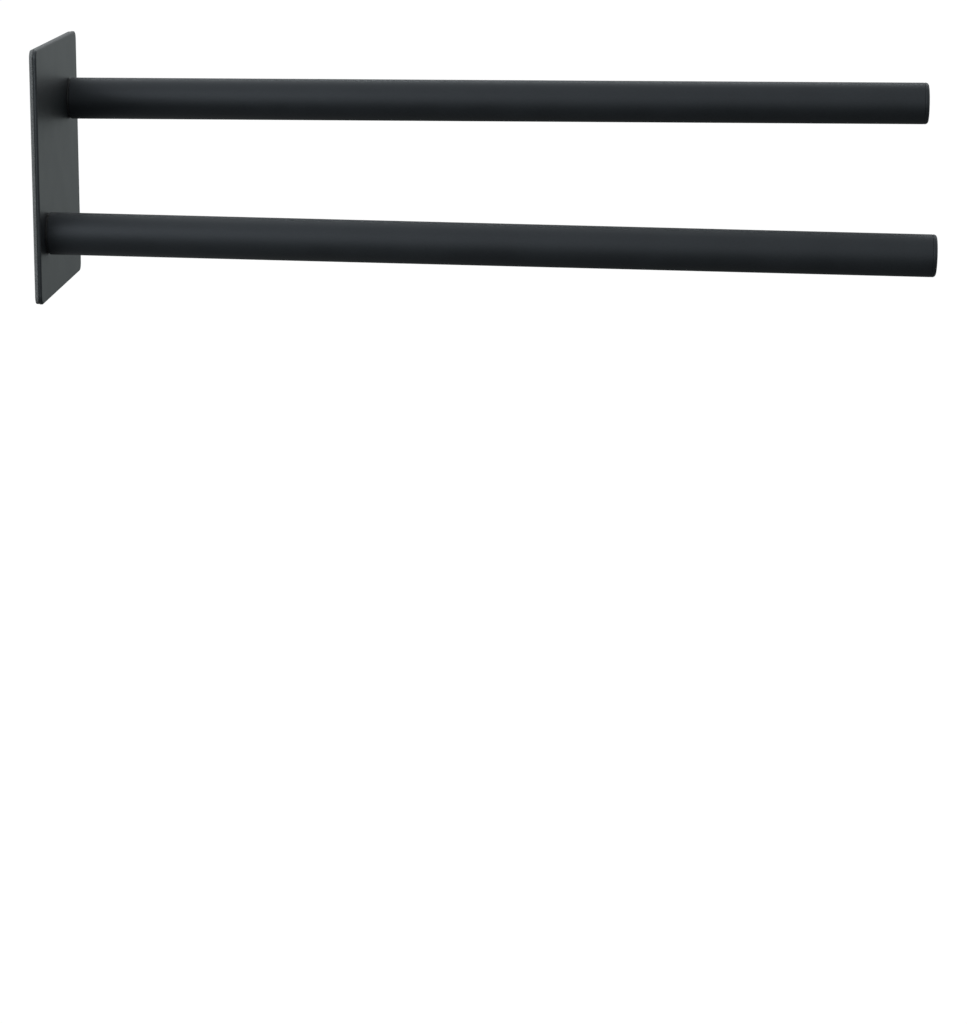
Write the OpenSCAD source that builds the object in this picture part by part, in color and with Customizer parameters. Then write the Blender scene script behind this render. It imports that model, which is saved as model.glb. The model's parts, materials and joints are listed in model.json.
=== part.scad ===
// Two-arm towel holder: a thin upright wall plate with two round straight arms,
// one high on the far side and one low on the near side.
// Millimetres. The wall is the plane X = 0, the arms stand out along +X, and +Z is up.

/* [Wall plate] */
// Width of the plate along the wall
plate_w = 110; // [92:1:160]
// Height of the plate
plate_h = 113; // [100:1:200]
// Thickness of the plate
plate_t = 1.6; // [1.5:0.1:4]
// Radius of the plate's corners
corner_r = 4; // [3:0.5:10]
// Radius of the plate's rounded front edge
edge_r = 0.7; // [0.3:0.1:1]

/* [Adhesive pad] */
// Thickness of the foam pad between plate and wall
pad_t = 1.6; // [0.8:0.1:2]
// How far the pad's edge lies inside the plate's edge
pad_inset = 0.3; // [0.1:0.1:2]

/* [Arms] */
// Distance from the plate's face to the tip of an arm
arm_reach = 397; // [250:1:500]
// Outer diameter of an arm
arm_d = 19; // [16:0.5:25]
// Wall of the tube
tube_wall = 1; // [0.8:0.1:2]
// Margin from the plate's side edge to the side of the nearer arm
side_margin = 12; // [6:0.5:15]
// Margin from the plate's top or bottom edge to the nearer arm
end_margin = 20; // [10:0.5:25]
// Angle by which the upper arm hangs below square, in degrees
upper_lean = 0; // [0:0.1:3]
// Angle by which the lower arm hangs below square, in degrees
lower_lean = 1; // [0:0.1:3]

/* [End caps] */
// Length of the cap that shows past the tube
cap_head_l = 2.2; // [2:0.1:4]
// Radius of the cap's rounded rim
cap_rim_r = 1.4; // [0.8:0.1:1.6]
// Rise of the cap's domed face
cap_dome = 0.3; // [0.1:0.05:0.4]
// Length of the cap's spigot inside the tube
spigot_l = 10; // [6:1:20]
// Wall of the hollow spigot
spigot_wall = 1.5; // [1:0.1:2]

/* [Root fixing] */
// Thickness of the seat washer between plate and tube
washer_t = 0.8; // [0.5:0.1:1.5]
// Step from the tube's outside in to the washer's edge
washer_step = 0.5; // [0.2:0.1:0.7]
// Length of the tapped plug in the root of the tube
plug_l = 16; // [12:1:30]
// Diameter of the screw's thread
screw_d = 4; // [3.5:0.5:5]
// Diameter of the screw's countersunk head
screw_head_d = 6.4; // [6:0.1:7]
// Length of thread that the plug holds
thread_l = 10; // [6:1:11]
// Width across the flats of the screw's hexagon socket
socket_w = 2.5; // [2:0.1:3]
// Depth of the hexagon socket
socket_depth = 1.3; // [1:0.1:1.6]

/* [Clearances] */
// Gap round a piece that fits inside another
fit_gap = 0.05; // [0.02:0.01:0.1]
// Gap round the screw in the holes that it passes through
hole_gap = 0.25; // [0.15:0.05:0.5]
// Depth of the screw's head below the plate's back
head_recess = 0.1; // [0.05:0.05:0.2]

/* [Hidden] */

$fn = 96;

// The two arms, by their side of the centre and their lean
upper = 0;
lower = 1;
arm_side = [1, -1];
arm_lean = [upper_lean, lower_lean];

plate_face = pad_t + plate_t;
seat = plate_face + washer_t;
arm_l = arm_reach - washer_t;
tube_l = arm_l - cap_head_l;
arm_r = arm_d / 2;
arm_spread = plate_w - 2 * side_margin - arm_d;
arm_rise = plate_h - 2 * end_margin - arm_d;
tube_bore_r = arm_r - tube_wall;
hole_r = screw_d / 2 + hole_gap;
edge_steps = 6;
rim_steps = 8;
dome_steps = 6;

// Distance that a cutting shape runs past the surface that it cuts
past = 1;

powder_black = [0.13, 0.14, 0.15];
washer_black = [0.05, 0.05, 0.055];
foam_grey = [0.37, 0.38, 0.39];
cap_black = [0.11, 0.12, 0.13];
zinc = [0.7, 0.7, 0.72];

// Children lie flat on the wall: their X runs along it, their Y is up and their Z is outwards
module on_wall(out) {
    translate([out, 0, 0]) rotate([90, 0, 90]) children();
}

// The middle of one arm's seat, square to the plate
module at_seat(arm) {
    on_wall(seat) translate([arm_side[arm] * arm_spread / 2, arm_side[arm] * arm_rise / 2, 0]) children();
}

// One arm's own axis, which starts at its seat and leans down
module along_arm(arm) {
    at_seat(arm) rotate([arm_lean[arm], 0, 0]) children();
}

// Stock behind the seat that a leaning piece starts with, so that its root is cut flush
function root_stock(arm) = arm_r * tan(arm_lean[arm]) + past;

module cut_flush(arm) {
    difference() {
        along_arm(arm) children();
        at_seat(arm) translate([-arm_d, -arm_d, -2 * root_stock(arm)])
            cube([2 * arm_d, 2 * arm_d, 2 * root_stock(arm)]);
    }
}

module rounded_outline(w, h, r) {
    square([w - 2 * r, h], center = true);
    square([w, h - 2 * r], center = true);
    for (x = [-1, 1], y = [-1, 1])
        translate([x * (w / 2 - r), y * (h / 2 - r)]) circle(r = r);
}

// Half the cross-section of a slab with a rounded front edge, out to the given half width
function half_section(reach, t, edge) =
    concat([[0, 0], [reach, 0]],
        [for (i = [0:edge_steps])
            let (a = 90 * i / edge_steps) [reach - edge + edge * cos(a), t - edge + edge * sin(a)]],
        [[0, t]]);

module edged_bar(w, l, t, edge) {
    for (turn = [0, 180])
        rotate([0, 0, turn]) rotate([90, 0, 0]) translate([0, 0, -l / 2]) linear_extrude(l)
            polygon(half_section(w / 2, t, edge));
}

// Two crossed bars and a round post at each corner
module edged_slab(w, h, t, r, edge) {
    edged_bar(w, h - 2 * r, t, edge);
    rotate([0, 0, 90]) edged_bar(h, w - 2 * r, t, edge);
    for (x = [-1, 1], y = [-1, 1])
        translate([x * (w / 2 - r), y * (h / 2 - r), 0])
            rotate_extrude() polygon(half_section(r, t, edge));
}

// The hole for a screw, drilled through and countersunk from behind, centred on the plate's back
module countersunk_hole() {
    mouth_r = screw_head_d / 2 + head_recess + fit_gap;
    translate([0, 0, -past]) cylinder(h = plate_t + 2 * past, r = hole_r);
    cylinder(h = mouth_r - hole_r, r1 = mouth_r, r2 = hole_r);
    translate([0, 0, -past]) cylinder(h = past, r = mouth_r);
}

module wall_plate() {
    color(powder_black) difference() {
        on_wall(pad_t) edged_slab(plate_w, plate_h, plate_t, corner_r, edge_r);
        for (arm = [upper, lower])
            at_seat(arm) translate([0, 0, pad_t - seat]) countersunk_hole();
    }
}

module adhesive_pad() {
    color(foam_grey) on_wall(0) linear_extrude(pad_t)
        rounded_outline(plate_w - 2 * pad_inset, plate_h - 2 * pad_inset, corner_r - pad_inset);
}

module root_washer(arm) {
    color(washer_black) at_seat(arm) translate([0, 0, -washer_t]) difference() {
        cylinder(h = washer_t, r = arm_r - washer_step);
        translate([0, 0, -past]) cylinder(h = washer_t + 2 * past, r = hole_r);
    }
}

module arm_tube(arm) {
    color(powder_black) cut_flush(arm) difference() {
        translate([0, 0, -root_stock(arm)]) cylinder(h = tube_l + root_stock(arm), r = arm_r);
        translate([0, 0, -root_stock(arm) - past])
            cylinder(h = tube_l + root_stock(arm) + 2 * past, r = tube_bore_r);
    }
}

// Half the outline of a cap, from the spigot's hollow round its outside to the middle of the face.
// The face is a shallow dome, which rises as the square of the way in from the rim.
module end_cap(arm) {
    spigot_r = tube_bore_r - fit_gap;
    face_r = arm_r - cap_rim_r;
    rim_z = cap_head_l - cap_dome - cap_rim_r;
    rim = [for (i = [0:rim_steps])
        let (a = 90 * i / rim_steps) [face_r + cap_rim_r * cos(a), rim_z + cap_rim_r * sin(a)]];
    dome = [for (i = [1:dome_steps])
        let (t = 1 - i / dome_steps) [face_r * t, cap_head_l - cap_dome * t * t]];
    color(cap_black) along_arm(arm) translate([0, 0, tube_l]) rotate_extrude()
        polygon(concat(
            [[0, 0], [spigot_r - spigot_wall, 0], [spigot_r - spigot_wall, -spigot_l]],
            [[spigot_r, -spigot_l], [spigot_r, 0], [arm_r, 0]],
            rim, dome));
}

// The plug leans with its tube, and its tapped hole is square to the plate
module root_plug(arm) {
    color(zinc) difference() {
        cut_flush(arm) translate([0, 0, -root_stock(arm)])
            cylinder(h = plug_l + root_stock(arm), r = tube_bore_r - fit_gap);
        at_seat(arm) translate([0, 0, -past])
            cylinder(h = plug_l + arm_d, r = screw_d / 2 + fit_gap);
    }
}

module arm_screw(arm) {
    head_back = pad_t + head_recess - seat;
    head_h = (screw_head_d - screw_d) / 2;
    color(zinc) at_seat(arm) difference() {
        translate([0, 0, head_back]) {
            cylinder(h = head_h, r1 = screw_head_d / 2, r2 = screw_d / 2);
            cylinder(h = thread_l - head_back, r = screw_d / 2);
        }
        translate([0, 0, head_back - past])
            cylinder(h = socket_depth + past, d = socket_w / cos(30), $fn = 6);
    }
}

wall_plate();
adhesive_pad();
root_washer(upper);  // upper_root_washer
root_washer(lower);  // lower_root_washer
arm_tube(upper);  // upper_arm_tube
arm_tube(lower);  // lower_arm_tube
end_cap(upper);  // upper_arm_end_cap
end_cap(lower);  // lower_arm_end_cap
root_plug(upper);  // upper_arm_root_plug
root_plug(lower);  // lower_arm_root_plug
arm_screw(upper);  // upper_arm_screw
arm_screw(lower);  // lower_arm_screw
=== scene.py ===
import json
from math import radians

import bmesh
import bpy
import numpy as np
from mathutils import Euler, Matrix, Vector


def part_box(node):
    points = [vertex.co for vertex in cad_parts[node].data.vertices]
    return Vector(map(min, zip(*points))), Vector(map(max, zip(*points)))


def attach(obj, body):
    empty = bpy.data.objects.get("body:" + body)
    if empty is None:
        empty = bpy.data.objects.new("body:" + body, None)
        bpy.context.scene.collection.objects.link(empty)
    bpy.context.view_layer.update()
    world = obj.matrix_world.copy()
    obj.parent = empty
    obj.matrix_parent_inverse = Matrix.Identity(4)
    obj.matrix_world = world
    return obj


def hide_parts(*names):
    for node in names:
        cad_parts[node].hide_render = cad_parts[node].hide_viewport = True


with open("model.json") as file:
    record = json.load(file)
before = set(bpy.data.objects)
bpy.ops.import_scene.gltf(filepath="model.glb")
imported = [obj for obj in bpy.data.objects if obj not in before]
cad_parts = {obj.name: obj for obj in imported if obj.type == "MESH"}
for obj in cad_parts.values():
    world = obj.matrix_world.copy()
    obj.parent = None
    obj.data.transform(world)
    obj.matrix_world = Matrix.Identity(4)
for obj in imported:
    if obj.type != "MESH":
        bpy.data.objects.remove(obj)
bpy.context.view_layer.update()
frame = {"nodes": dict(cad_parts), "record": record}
nodes = frame["nodes"]
print("frame loaded:", len(nodes), "nodes")

# Camera, found by fitting the plate's outline and the arms' edges and tips in the photograph
camera = {
    "place": (0.26920, -1.58434, 0.18750),
    "turnDegrees": 2.600,     # to the left of the far direction, +Y
    "diveDegrees": 12.362,    # below level
    "rollDegrees": 0.104,
    "focalPixels": 3500.3,
    "longSidePixels": 1024,
    "sensorMm": 36.0,
    "nearest": 0.01,          # the camera sees from here
    "farthest": 200.0,        # to here
}


def addObject(name, data):
    obj = bpy.data.objects.new(name, data)
    bpy.context.scene.collection.objects.link(obj)
    return obj


def placeCamera(c):
    data = bpy.data.cameras.new("photoCamera")
    data.sensor_width = c["sensorMm"]
    data.lens = c["focalPixels"] / c["longSidePixels"] * c["sensorMm"]
    data.clip_start = c["nearest"]
    data.clip_end = c["farthest"]
    obj = addObject("photoCamera", data)
    look = Euler((radians(90 - c["diveDegrees"]), 0, radians(c["turnDegrees"]))).to_matrix()
    roll = Matrix.Rotation(radians(c["rollDegrees"]), 3, "Z")
    obj.matrix_world = Matrix.Translation(c["place"]) @ (look @ roll).to_4x4()
    bpy.context.scene.camera = obj


placeCamera(camera)
print("camera placed")


# Node helpers: each adds one node, sets or links its inputs and gives back what comes out

def feed(tree, value, socket):
    if isinstance(value, bpy.types.NodeSocket):
        tree.links.new(value, socket)
    else:
        socket.default_value = value


def addNode(tree, kind, settings, inputs, out=0):
    node = tree.nodes.new(kind)
    for key, value in settings.items():
        setattr(node, key, value)
    for key, value in inputs.items():
        feed(tree, value, node.inputs[key])
    return node.outputs[out]


def mathOf(tree, operation, a, b):
    return addNode(tree, "ShaderNodeMath", {"operation": operation}, {0: a, 1: b})


# A colour mix: the Mix node's sockets 6 and 7 are its two colours, and 2 is the colour that comes out
def mixOf(tree, share, a, b):
    return addNode(tree, "ShaderNodeMix", {"data_type": "RGBA"}, {0: share, 6: a, 7: b}, 2)


def rangeOf(tree, value, fromRange, toRange):
    inputs = {"Value": value, "From Min": fromRange[0], "From Max": fromRange[1],
              "To Min": toRange[0], "To Max": toRange[1]}
    return addNode(tree, "ShaderNodeMapRange", {}, inputs)


def noiseOf(tree, where, size, detail=2.0, roughness=0.5):
    inputs = {"Vector": where, "Scale": 1 / size, "Detail": detail, "Roughness": roughness}
    return addNode(tree, "ShaderNodeTexNoise", {}, inputs)


def voronoiOf(tree, where, size, out):
    inputs = {"Vector": where, "Scale": 1 / size}
    return addNode(tree, "ShaderNodeTexVoronoi", {}, inputs, out)


def bumpOf(tree, height, depth, normal=None):
    inputs = {"Height": height, "Distance": depth, "Strength": 1.0}
    if normal is not None:
        inputs["Normal"] = normal
    return addNode(tree, "ShaderNodeBump", {}, inputs)


def objectPlace(tree):
    return tree.nodes.new("ShaderNodeTexCoord").outputs["Object"]


def opaque(colour):
    return tuple(colour) + (1.0,)


# Studio: a pale dome, a pale floor and four soft panels: in front, above, below, and a narrow one
# behind for the highlight along the arms' tops
studio = {
    "floorHeight": -1.55,        # the holder hangs about this high
    "floorHalfSide": 40.0,
    "floorBounce": 0.12,         # how pale the floor is to the light that it sends back
    "floorGlow": 0.95,           # what the camera sees on top of that, up to white
    "floorMirrorReach": (1.2, 16.0),    # from here to there the mirrored floor gets paler
    "floorMirrorShare": (0.03, 0.44),   # share of its white that satin surfaces mirror, near and far
    "skyMirrorShare": 0.05,      # the same for the white background above the floor
    "floorTint": (0.88, 0.98, 0.97),    # the mirrored floor is a little green
    "lightTint": (0.93, 0.98, 1.0),     # cool daylight
    # The dome's level at each height, which is the Z of a ray's unit direction
    "domeStops": ((0.0, 0.60), (0.18, 0.66), (0.38, 0.65), (1.0, 0.58)),
    "panels": {
        "frontPanel": {"place": (-0.53, -0.85, 0.44), "aim": (0.0, 0.0, 0.0),
                       "size": (0.78, 0.92), "watts": 5.7},
        "topPanel": {"place": (-0.32, 0.07, 0.78), "aim": (-0.07, 0.0, 0.0),
                     "size": (0.85, 1.13), "watts": 1.4},
        "rimPanel": {"place": (0.20, 1.17, 1.02), "aim": (0.20, 0.0, 0.0),
                     "size": (2.0, 0.12), "watts": 4.0},
        # this one stands below the plate and faces along the arms
        "lowPanel": {"place": (-0.01, 0.0, -0.50), "aim": (1.0, 0.0, -0.50),
                     "size": (1.3, 0.85), "watts": 0.7},
    },
}


# 1 for camera and transmission rays, the mirror share for glossy rays and 0 for the rest
def backgroundShare(tree, mirrorShare):
    path = tree.nodes.new("ShaderNodeLightPath")
    seen = mathOf(tree, "MAXIMUM", path.outputs["Is Camera Ray"], path.outputs["Is Transmission Ray"])
    mirrored = mathOf(tree, "MULTIPLY", path.outputs["Is Glossy Ray"], mirrorShare)
    return mathOf(tree, "MAXIMUM", seen, mirrored)


def lightWorld(s):
    world = bpy.data.worlds.new("studioWorld")
    bpy.context.scene.world = world
    world.use_nodes = True
    tree = world.node_tree
    tree.nodes.clear()
    direction = tree.nodes.new("ShaderNodeTexCoord").outputs["Generated"]
    height = addNode(tree, "ShaderNodeSeparateXYZ", {}, {0: direction}, "Z")
    ramp = tree.nodes.new("ShaderNodeValToRGB")
    stops = ramp.color_ramp.elements
    while len(stops) < len(s["domeStops"]):
        stops.new(0.5)
    for stop, (position, level) in zip(stops, s["domeStops"]):
        stop.position = position
        stop.color = opaque(level * tint for tint in s["lightTint"])
    tree.links.new(height, ramp.inputs["Fac"])
    share = backgroundShare(tree, s["skyMirrorShare"])
    colour = mixOf(tree, share, ramp.outputs["Color"], opaque((1, 1, 1)))
    sky = addNode(tree, "ShaderNodeBackground", {}, {"Color": colour})
    tree.links.new(sky, tree.nodes.new("ShaderNodeOutputWorld").inputs["Surface"])


def layFloor(s):
    half = s["floorHalfSide"]
    z = s["floorHeight"]
    corners = [(-half, -half, z), (half, -half, z), (half, half, z), (-half, half, z)]
    mesh = bpy.data.meshes.new("floor")
    mesh.from_pydata(corners, [], [(0, 1, 2, 3)])
    floor = addObject("floor", mesh)
    paint = bpy.data.materials.new("floorPaint")
    paint.use_nodes = True
    tree = paint.node_tree
    tree.nodes.clear()
    inputs = {0: objectPlace(tree)}
    away = addNode(tree, "ShaderNodeVectorMath", {"operation": "LENGTH"}, inputs, "Value")
    mirrorShare = rangeOf(tree, away, s["floorMirrorReach"], s["floorMirrorShare"])
    strength = mathOf(tree, "MULTIPLY", backgroundShare(tree, mirrorShare), s["floorGlow"])
    glossy = tree.nodes.new("ShaderNodeLightPath").outputs["Is Glossy Ray"]
    colour = mixOf(tree, glossy, opaque((1, 1, 1)), opaque(s["floorTint"]))
    glow = addNode(tree, "ShaderNodeEmission", {}, {"Color": colour, "Strength": strength})
    bounce = addNode(tree, "ShaderNodeBsdfDiffuse", {}, {"Color": opaque((s["floorBounce"],) * 3)})
    both = addNode(tree, "ShaderNodeAddShader", {}, {0: bounce, 1: glow})
    tree.links.new(both, tree.nodes.new("ShaderNodeOutputMaterial").inputs["Surface"])
    mesh.materials.append(paint)


def hangPanel(name, place, aim, size, watts):
    data = bpy.data.lights.new(name, "AREA")
    data.shape = "RECTANGLE"
    data.size, data.size_y = size
    data.energy = watts
    data.color = studio["lightTint"]
    obj = addObject(name, data)
    obj.location = place
    obj.rotation_euler = (Vector(aim) - Vector(place)).to_track_quat("-Z", "Y").to_euler()
    obj.visible_camera = False


lightWorld(studio)
layFloor(studio)
for name, p in studio["panels"].items():
    hangPanel(name, p["place"], p["aim"], p["size"], p["watts"])
print("studio lit")


# Materials. All patterns read Object coordinates, and sizes and depths are in metres

def newPaint(name, sockets):
    paint = bpy.data.materials.new(name)
    paint.use_nodes = True
    shader = paint.node_tree.nodes["Principled BSDF"]
    for key, value in sockets.items():
        shader.inputs[key].default_value = value
    return paint, paint.node_tree, shader


plateCoat = {
    "dark": (0.0060, 0.0070, 0.0078),
    "light": (0.0110, 0.0128, 0.0142),
    "cloudRange": (0.7, 1.3),       # patches and grain added up, from dark to light
    "patchSize": 0.018,             # faint clouds in the colour and the sheen
    "patchRange": (0.35, 0.65),     # the patches alone, from the first roughness to the second
    "peelSize": 0.0018,             # orange peel of the cured powder
    "peelDepth": 0.000005,
    "grainSize": 0.00032,           # the powder's own fine grain
    "grainDepth": 0.000006,
    "roughness": (0.40, 0.42),
    "ior": 1.5,
    "mirrorTint": (0.90, 0.96, 1.0),
}

armCoat = dict(plateCoat, dark=(0.0065, 0.0078, 0.0090), light=(0.0120, 0.0140, 0.0160),
               roughness=(0.51, 0.55), mirrorTint=(0.870, 0.917, 1.0))

capCoat = dict(armCoat, peelDepth=0.000003, grainDepth=0.000004, roughness=(0.48, 0.53))


# Powder coat: clouds tint it and change its sheen, orange peel and grain stand in relief
def paintPowder(name, p):
    sockets = {"IOR": p["ior"], "Specular Tint": opaque(p["mirrorTint"])}
    paint, tree, shader = newPaint(name, sockets)
    where = objectPlace(tree)
    patches = noiseOf(tree, where, p["patchSize"], detail=3.0)
    grain = noiseOf(tree, where, p["grainSize"])
    peel = noiseOf(tree, where, p["peelSize"], detail=1.0)
    cloud = rangeOf(tree, mathOf(tree, "ADD", patches, grain), p["cloudRange"], (0.0, 1.0))
    feed(tree, mixOf(tree, cloud, opaque(p["dark"]), opaque(p["light"])), shader.inputs["Base Color"])
    feed(tree, rangeOf(tree, patches, p["patchRange"], p["roughness"]), shader.inputs["Roughness"])
    waves = bumpOf(tree, peel, p["peelDepth"])
    feed(tree, bumpOf(tree, grain, p["grainDepth"], waves), shader.inputs["Normal"])
    return paint


foam = {
    "wall": (0.184, 0.188, 0.190),
    # painted shade: the colour in the pits of the cut cells, darker than the foam's walls
    "pitShade": (0.085, 0.087, 0.088),
    "cellSize": 0.00045,
    "cellRange": (0.15, 0.6),       # distance from a cell's middle, from pit to wall
    "cellDepth": 0.00006,
    "patchSize": 0.006,
    "patchRange": (0.3, 0.7),       # the patches, from the first shade to the second
    "patchShade": (0.92, 1.06),
    "roughness": 0.92,
    "ior": 1.4,
}


# Foam with closed cells: the cut cells are pits between paler walls, with painted shade in the pits,
# and the same pattern stands in low relief
def paintFoam(name, p):
    paint, tree, shader = newPaint(name, {"Roughness": p["roughness"], "IOR": p["ior"]})
    where = objectPlace(tree)
    cells = voronoiOf(tree, where, p["cellSize"], "Distance")
    patches = rangeOf(tree, noiseOf(tree, where, p["patchSize"]), p["patchRange"], p["patchShade"])
    wall = rangeOf(tree, cells, p["cellRange"], (0.0, 1.0))
    # painted shade: the pits get the darker colour and the walls between them the paler one
    colour = mixOf(tree, wall, opaque(p["pitShade"]), opaque(p["wall"]))
    inputs = {0: colour, "Scale": patches}
    shaded = addNode(tree, "ShaderNodeVectorMath", {"operation": "SCALE"}, inputs)
    feed(tree, shaded, shader.inputs["Base Color"])
    feed(tree, bumpOf(tree, cells, p["cellDepth"]), shader.inputs["Normal"])
    return paint


nylon = {
    "dark": (0.008, 0.008, 0.009),
    "light": (0.016, 0.016, 0.017),
    "flowSize": 0.0025,
    "flowRange": (0.35, 0.65),      # the flow marks, from the first roughness to the second
    "grainSize": 0.0002,
    "grainDepth": 0.000006,
    "roughness": (0.5, 0.62),
    "ior": 1.53,
}


# Moulded nylon: broad flow marks and a fine grain
def paintNylon(name, p):
    paint, tree, shader = newPaint(name, {"IOR": p["ior"]})
    where = objectPlace(tree)
    flow = noiseOf(tree, where, p["flowSize"], detail=3.0)
    grain = noiseOf(tree, where, p["grainSize"])
    feed(tree, mixOf(tree, flow, opaque(p["dark"]), opaque(p["light"])), shader.inputs["Base Color"])
    feed(tree, rangeOf(tree, flow, p["flowRange"], p["roughness"]), shader.inputs["Roughness"])
    feed(tree, bumpOf(tree, grain, p["grainDepth"]), shader.inputs["Normal"])
    return paint


zinc = {
    "dark": (0.40, 0.42, 0.45),
    "light": (0.62, 0.64, 0.66),
    "spangleSize": 0.0012,
    "turnMarkSize": 0.0002,         # along the arm
    "turnMarkDepth": 0.000004,
    "roughness": (0.28, 0.45),
}


# Zinc plate on turned steel: crystal patches, with turning marks round the arm's axis
def paintZinc(name, p):
    paint, tree, shader = newPaint(name, {"Metallic": 1.0})
    where = objectPlace(tree)
    spangle = voronoiOf(tree, where, p["spangleSize"], "Color")
    patch = addNode(tree, "ShaderNodeSeparateColor", {}, {0: spangle})
    along = addNode(tree, "ShaderNodeSeparateXYZ", {}, {0: where})
    inputs = {"W": along, "Scale": 1 / p["turnMarkSize"]}
    marks = addNode(tree, "ShaderNodeTexNoise", {"noise_dimensions": "1D"}, inputs)
    feed(tree, mixOf(tree, patch, opaque(p["dark"]), opaque(p["light"])), shader.inputs["Base Color"])
    feed(tree, rangeOf(tree, patch, (0.0, 1.0), p["roughness"]), shader.inputs["Roughness"])
    feed(tree, bumpOf(tree, marks, p["turnMarkDepth"]), shader.inputs["Normal"])
    return paint


paints = {
    "plate": paintPowder("plateCoat", plateCoat),
    "arm": paintPowder("armCoat", armCoat),
    "cap": paintPowder("capCoat", capCoat),
    "foam": paintFoam("padFoam", foam),
    "nylon": paintNylon("washerNylon", nylon),
    "zinc": paintZinc("zincPlate", zinc),
}
print("materials mixed:", len(paints))


# Profiles. A profile is a row of points (t, r): t along the piece, r out from its middle

# Rounds a profile's corners. With a and b the directions into and out of a corner, a turn of w
# between them and a radius q, the arc starts q*tan(w/2) before the corner, and its points are
# centre - q*(cos(f)*n + sin(f)*m) for f from 0 to w, with n square to a, towards the turn, and m
# square to n. One more point lies flat beside each end of the arc, to hold the shading there.
def roundCorners(corners, closed, steps=6, hold=0.00006):
    corners = np.array(corners, float)
    point = corners[:, :2]
    before = np.roll(point, 1, axis=0)
    after = np.roll(point, -1, axis=0)
    a = (point - before) / np.linalg.norm(point - before, axis=1, keepdims=True)
    b = (after - point) / np.linalg.norm(after - point, axis=1, keepdims=True)
    turn = np.arctan2(a[:, 0] * b[:, 1] - a[:, 1] * b[:, 0], (a * b).sum(axis=1))[:, None]
    radius = corners[:, 2:3]
    cut = radius * np.tan(np.abs(turn) / 2)
    n = np.sign(turn) * np.stack([-a[:, 1], a[:, 0]], axis=1)
    m = np.stack([-n[:, 1], n[:, 0]], axis=1)
    f = turn * np.linspace(0, 1, steps + 1)
    start = point - a * cut
    end = point + b * cut
    centre = start + n * radius
    spoke = np.cos(f)[..., None] * n[:, None] + np.sin(f)[..., None] * m[:, None]
    arc = centre[:, None] - radius[:, None] * spoke
    rounded = np.concatenate([(start - a * hold)[:, None], arc, (end + b * hold)[:, None]], axis=1)
    if closed:
        return rounded.reshape(-1, 2)
    return np.concatenate([point[:1], rounded[1:-1].reshape(-1, 2), point[-1:]])


# Splits each stretch longer than the given length into equal steps: start + share*(end - start)
def divideLong(profile, longest, closed):
    end = np.roll(profile, -1, axis=0)
    if not closed:
        end[-1] = profile[-1]
    parts = np.maximum(np.ceil(np.linalg.norm(end - profile, axis=1) / longest), 1).astype(int)
    first = np.repeat(np.cumsum(parts) - parts, parts)
    share = (np.arange(parts.sum()) - first) / np.repeat(parts, parts)
    return np.repeat(profile, parts, axis=0) + share[:, None] * np.repeat(end - profile, parts, axis=0)


# Makes a mesh from rows of points that each go round. Row i and row i+1 are joined by quads, and
# a row no wider than poleSize is a pole of triangles. Rows run so that the faces point outwards.
def skinRows(name, rows, closed, poleSize=1e-9):
    steps = rows.shape[1]
    pole = np.ptp(rows, axis=1).max(axis=1) < poleSize
    firstPole, lastPole = bool(pole[0]), bool(pole[-1])
    body = rows[int(firstPole):len(rows) - int(lastPole)]
    index = int(firstPole) + np.arange(len(body) * steps).reshape(len(body), steps)
    ahead = np.roll(index, -1, axis=1)
    quads = np.stack([index, ahead, np.roll(ahead, -1, axis=0), np.roll(index, -1, axis=0)], axis=-1)
    points = body.reshape(-1, 3)
    faces = (quads if closed else quads[:-1]).reshape(-1, 4).tolist()
    if firstPole:
        points = np.concatenate([rows[0, :1], points])
        faces += np.stack([np.zeros(steps, int), ahead[0], index[0]], axis=-1).tolist()
    if lastPole:
        faces += np.stack([index[-1], ahead[-1], np.full(steps, len(points))], axis=-1).tolist()
        points = np.concatenate([points, rows[-1, :1]])
    mesh = bpy.data.meshes.new(name)
    mesh.from_pydata(points.tolist(), [], faces)
    mesh.shade_smooth()
    mesh.update()
    return addObject(name, mesh)


def coat(obj, paint):
    obj.data.materials.clear()
    obj.data.materials.append(paint)


def fitPiece(obj, node, paint):
    coat(obj, paint)
    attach(obj, "root")
    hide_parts(node)


# Arms. Each arm has its own axes, from its rail in the record: root, along, side and up
rails = {mount["name"]: mount for mount in frame["record"]["mounts"]}


def armAxes(arm):
    rail = rails[arm + "_arm_rail"]
    along = np.array(rail["axis"], float)
    along /= np.linalg.norm(along)
    side = np.array((0.0, 1.0, 0.0))
    length = rail["dims"]["length_mm"] / 1000
    return {
        "root": np.array(rail["pos_m"], float) - along * length / 2,
        "along": along, "side": side, "up": np.cross(along, side),
        "length": length, "radius": rail["dims"]["r_mm"] / 1000,
    }


# Carries a profile round an arm: root + t*along + r*(cos(g)*side + sin(g)*up), g from 0 to a
# full turn. Near the root each point also slides along by r*sin(g)*slope, with the slope of the
# arm's axis, so that a leaning piece ends flush with the plate. The slide is whole for a tenth of
# the flush length and then fades out evenly over one flush length.
def turnOnArm(name, profile, axes, around, closed, flushLength=0.0):
    g = np.linspace(0, 2 * np.pi, around, endpoint=False)
    ring = np.cos(g)[:, None] * axes["side"] + np.sin(g)[:, None] * axes["up"]
    t = profile[:, :1] * np.ones(around)
    r = profile[:, 1:2] * np.ones(around)
    if flushLength:
        slope = axes["along"][2] / axes["along"][0]
        t = t + np.clip(1.1 - t / flushLength, 0, 1) * r * np.sin(g) * slope
    rows = axes["root"] + t[..., None] * axes["along"] + r[..., None] * ring
    return skinRows(name, rows, closed)


tube = {
    "wall": 0.001,
    "tipEdge": 0.00028,      # the powder rounds the cut end
    "rootEdge": 0.00022,
    "innerEdge": 0.00015,
    "ringEvery": 0.008,
    "flushLength": 0.02,
    "around": 144,
}


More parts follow.
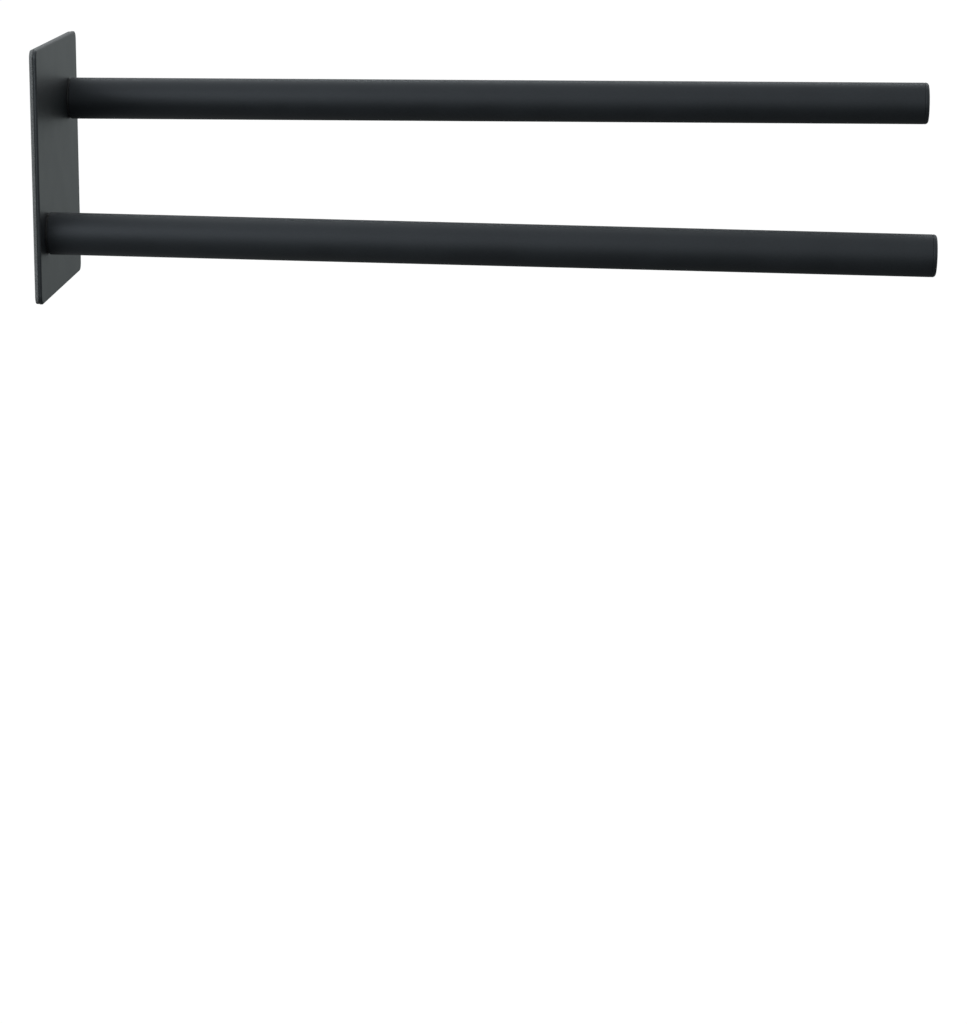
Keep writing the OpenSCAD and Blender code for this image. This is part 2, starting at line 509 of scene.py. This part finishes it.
# The tube's cut wall, a ring of four corners, is turned round the arm
def makeTube(arm, axes, p):
    outer, inner, length = axes["radius"], axes["radius"] - p["wall"], axes["length"]
    corners = [(0, outer, p["rootEdge"]), (length, outer, p["tipEdge"]),
               (length, inner, p["innerEdge"]), (0, inner, p["innerEdge"])]
    profile = divideLong(roundCorners(corners, True), p["ringEvery"], True)
    obj = turnOnArm(arm + "ArmTube", profile, axes, p["around"], True, p["flushLength"])
    fitPiece(obj, arm + "_arm_tube", paints["arm"])


cap = {
    "rimRadius": 0.0014,
    "domeRise": 0.0003,
    "seamEdge": 0.00026,     # half of the fine groove where cap and tube meet
    "spigotGap": 0.00005,
    "spigotWall": 0.0015,
    "spigotEdge": 0.0004,
    "rimSteps": 10,
    "domeSteps": 14,
    "ringEvery": 0.002,
    "around": 144,
}


# The profile runs from the spigot's floor out to the rim, and then in over the face. The face is a
# shallow dome: it stands domeRise*(1 - s*s) over its rim, s from 0 at the middle to 1. The spigot's
# end and the face are measured on the upper arm, which stands square to the plate.
def makeCap(arm, axes, p):
    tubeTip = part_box("upper_arm_tube")[1].x
    spigotEnd, face = (corner.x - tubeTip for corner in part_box("upper_arm_end_cap"))
    outer = axes["radius"]
    spigot = outer - tube["wall"] - p["spigotGap"]
    hollow = spigot - p["spigotWall"]
    rimTop = face - p["domeRise"]
    corners = [(0, 0, 0), (0, hollow, p["spigotEdge"]), (spigotEnd, hollow, p["spigotEdge"]),
               (spigotEnd, spigot, p["spigotEdge"]), (0, spigot, p["spigotGap"]),
               (0, outer, p["seamEdge"]), (rimTop, outer, p["rimRadius"]), (rimTop, 0, 0)]
    side = divideLong(roundCorners(corners, False, p["rimSteps"])[:-1], p["ringEvery"], False)
    s = np.linspace(1, 0, p["domeSteps"] + 1)[1:]
    rim = side[-1]
    dome = np.stack([rim[0] + p["domeRise"] * (1 - s ** 2), rim[1] * s], axis=1)
    profile = np.concatenate([side, dome]) + (axes["length"], 0)
    obj = turnOnArm(arm + "ArmEndCap", profile, axes, p["around"], False)
    fitPiece(obj, arm + "_arm_end_cap", paints["cap"])


washer = {
    "holeRadius": 0.00225,   # clear of the screw
    "edge": 0.00012,
    "ringEvery": 0.0015,
    "around": 120,
}


# The washer lies flat on the plate, so it is turned round X also where its arm leans
def makeWasher(arm, axes, p):
    low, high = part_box(arm + "_root_washer")
    outer = (high.z - low.z) / 2
    back = low.x - high.x
    corners = [(back, outer, p["edge"]), (0, outer, p["edge"]),
               (0, p["holeRadius"], p["edge"]), (back, p["holeRadius"], p["edge"])]
    profile = divideLong(roundCorners(corners, True), p["ringEvery"], True)
    square = dict(axes, along=np.array((1.0, 0.0, 0.0)), up=np.array((0.0, 0.0, 1.0)))
    obj = turnOnArm(arm + "RootWasher", profile, square, p["around"], True)
    fitPiece(obj, arm + "_root_washer", paints["nylon"])


for arm in ("upper", "lower"):
    axes = armAxes(arm)
    makeTube(arm, axes, tube)
    makeCap(arm, axes, cap)
    makeWasher(arm, axes, washer)
    print(arm, "arm made")


# Wall plate: the solid's own faces, merged. A narrow flat band inside the front face's outline
# keeps that face flat where its rounded edge starts.
plate = {
    "mergeGap": 0.000001,
    "bandWidth": 0.0003,
    "creaseDegrees": 40,
}


def makePlate(p):
    mesh = nodes["wall_plate"].data.copy()
    mesh.name = "wallPlate"
    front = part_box("wall_plate")[1].x
    shape = bmesh.new()
    shape.from_mesh(mesh)
    bmesh.ops.remove_doubles(shape, verts=shape.verts, dist=p["mergeGap"])
    shape.normal_update()
    flat = [face for face in shape.faces
            if all(abs(corner.co.x - front) < p["mergeGap"] for corner in face.verts)]
    bmesh.ops.inset_region(shape, faces=flat, thickness=p["bandWidth"],
                           use_even_offset=True, use_boundary=True)
    shape.to_mesh(mesh)
    shape.free()
    mesh.shade_smooth()
    mesh.set_sharp_from_angle(angle=radians(p["creaseDegrees"]))
    fitPiece(addObject("wallPlate", mesh), "wall_plate", paints["plate"])


makePlate(plate)
print("plate made")


# Adhesive pad: a die-cut foam sheet whose cut edge swells a little between plate and wall
pad = {
    "cornerRadius": 0.0037,
    "faceEdge": 0.00012,     # how far the two faces' edges draw in
    "swell": 0.00012,        # how far the middle of the cut edge stands out
    "ripple": 0.00003,
    # waves round the outline, where each starts and how far it turns from back to front
    "rippleWaves": ((61, 0.3, 1.9), (97, 2.1, 3.7), (139, 4.4, 5.3), (211, 1.2, 8.9)),
    "edgeRows": 11,
    "faceRows": 24,
    "stepAlong": 0.0012,
    "cornerSteps": 12,
}


# Rows go from the back's middle to its edge, over the cut edge to the front, and in to its middle.
# On a face a row is the outline times a share. On the cut edge, at height v from 0 to 1, it is the
# outline moved out along its normal by swell*4v(1-v) - faceEdge*(1 - 4v(1-v))**8 and the ripple,
# which is a sum of waves round the outline, turned a little further at each height.
def makePad(p):
    low, high = (np.array(corner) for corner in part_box("adhesive_pad"))
    halfWidth, halfHeight = high[1], high[2]
    r = p["cornerRadius"]
    corners = [(halfWidth, -halfHeight, r), (halfWidth, halfHeight, r),
               (-halfWidth, halfHeight, r), (-halfWidth, -halfHeight, r)]
    outline = divideLong(roundCorners(corners, True, p["cornerSteps"]), p["stepAlong"], True)
    ahead = np.roll(outline, -1, axis=0) - np.roll(outline, 1, axis=0)
    ahead /= np.linalg.norm(ahead, axis=1, keepdims=True)
    normal = np.stack([ahead[:, 1], -ahead[:, 0]], axis=1)
    v = np.linspace(0, 1, p["edgeRows"])[:, None]
    hill = 4 * v * (1 - v)
    run = np.linspace(0, 2 * np.pi, len(outline), endpoint=False)
    ripple = sum(np.sin(waves * run + start + climb * v) for waves, start, climb in p["rippleWaves"])
    out = p["swell"] * hill - p["faceEdge"] * (1 - hill) ** 8
    out = out + p["ripple"] * hill * ripple / len(p["rippleWaves"])
    edge = outline + out[..., None] * normal
    share = np.linspace(0, 1, p["faceRows"], endpoint=False)[:, None, None]
    flat = np.concatenate([share * edge[0], edge, share[::-1] * edge[-1]])
    height = np.concatenate([np.zeros(p["faceRows"]), v[:, 0], np.ones(p["faceRows"])])
    x = (low[0] + height * (high[0] - low[0]))[:, None, None] * np.ones((1, len(outline), 1))
    obj = skinRows("adhesivePad", np.concatenate([x, flat], axis=2), False)
    fitPiece(obj, "adhesive_pad", paints["foam"])


makePad(pad)
print("pad made")

# Plugs and screws stay the solids that they are, in zinc plate
for name, obj in nodes.items():
    if "plug" in name or "screw" in name:
        coat(obj, paints["zinc"])
print("plugs and screws plated")

bpy.context.scene.view_settings.view_transform = "Standard"
